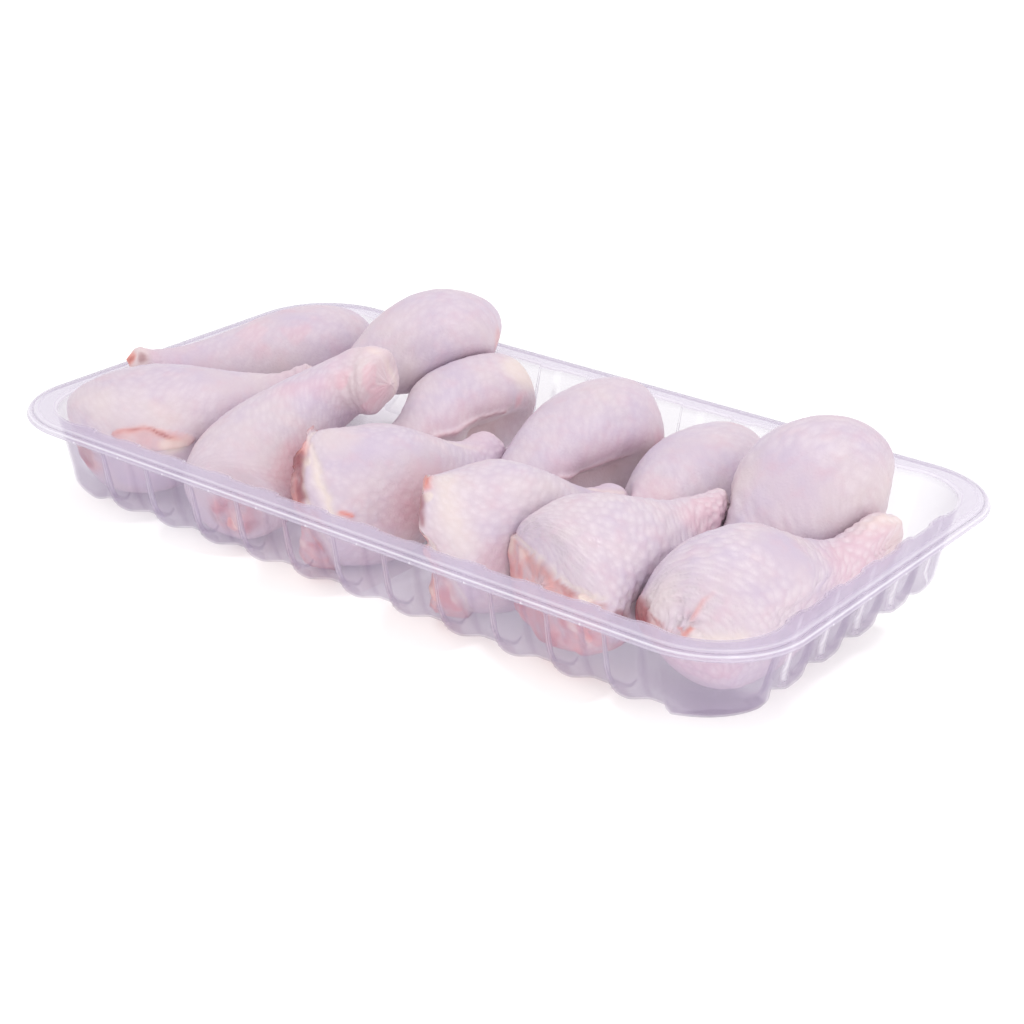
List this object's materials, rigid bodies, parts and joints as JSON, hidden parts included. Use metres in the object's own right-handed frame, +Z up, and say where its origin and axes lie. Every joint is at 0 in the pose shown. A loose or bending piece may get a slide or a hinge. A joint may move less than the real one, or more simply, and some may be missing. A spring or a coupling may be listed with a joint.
{
  "type": "meat tray pack",
  "caption": "Clear ribbed plastic food tray with a wide flange, packed with raw chicken drumsticks lying head to tail in two rows.",
  "frame": {"origin": "middle of the pack's base, on the surface it stands on", "axes": "+X along the tray's long side, +Y across the tray from its front row to its back row, +Z up"},
  "size_m": [0.3798, 0.2128, 0.0713],
  "materials": {
    "clear_plastic": "clear thermoformed plastic sheet with a faint lilac tint, glossy",
    "chicken": "raw moist chicken skin, pale lilac pink with cream patches; leather stands in for skin"
  },
  "bodies": {
    "root": {"tray": "clear_plastic", "drumstick_front_1": "chicken", "drumstick_front_2": "chicken", "drumstick_front_3": "chicken", "drumstick_front_4": "chicken", "drumstick_front_5": "chicken", "drumstick_front_6": "chicken", "drumstick_back_1": "chicken", "drumstick_back_2": "chicken", "drumstick_back_3": "chicken", "drumstick_back_4": "chicken", "drumstick_back_5": "chicken", "drumstick_back_6": "chicken"}
  },
  "joints": []
}
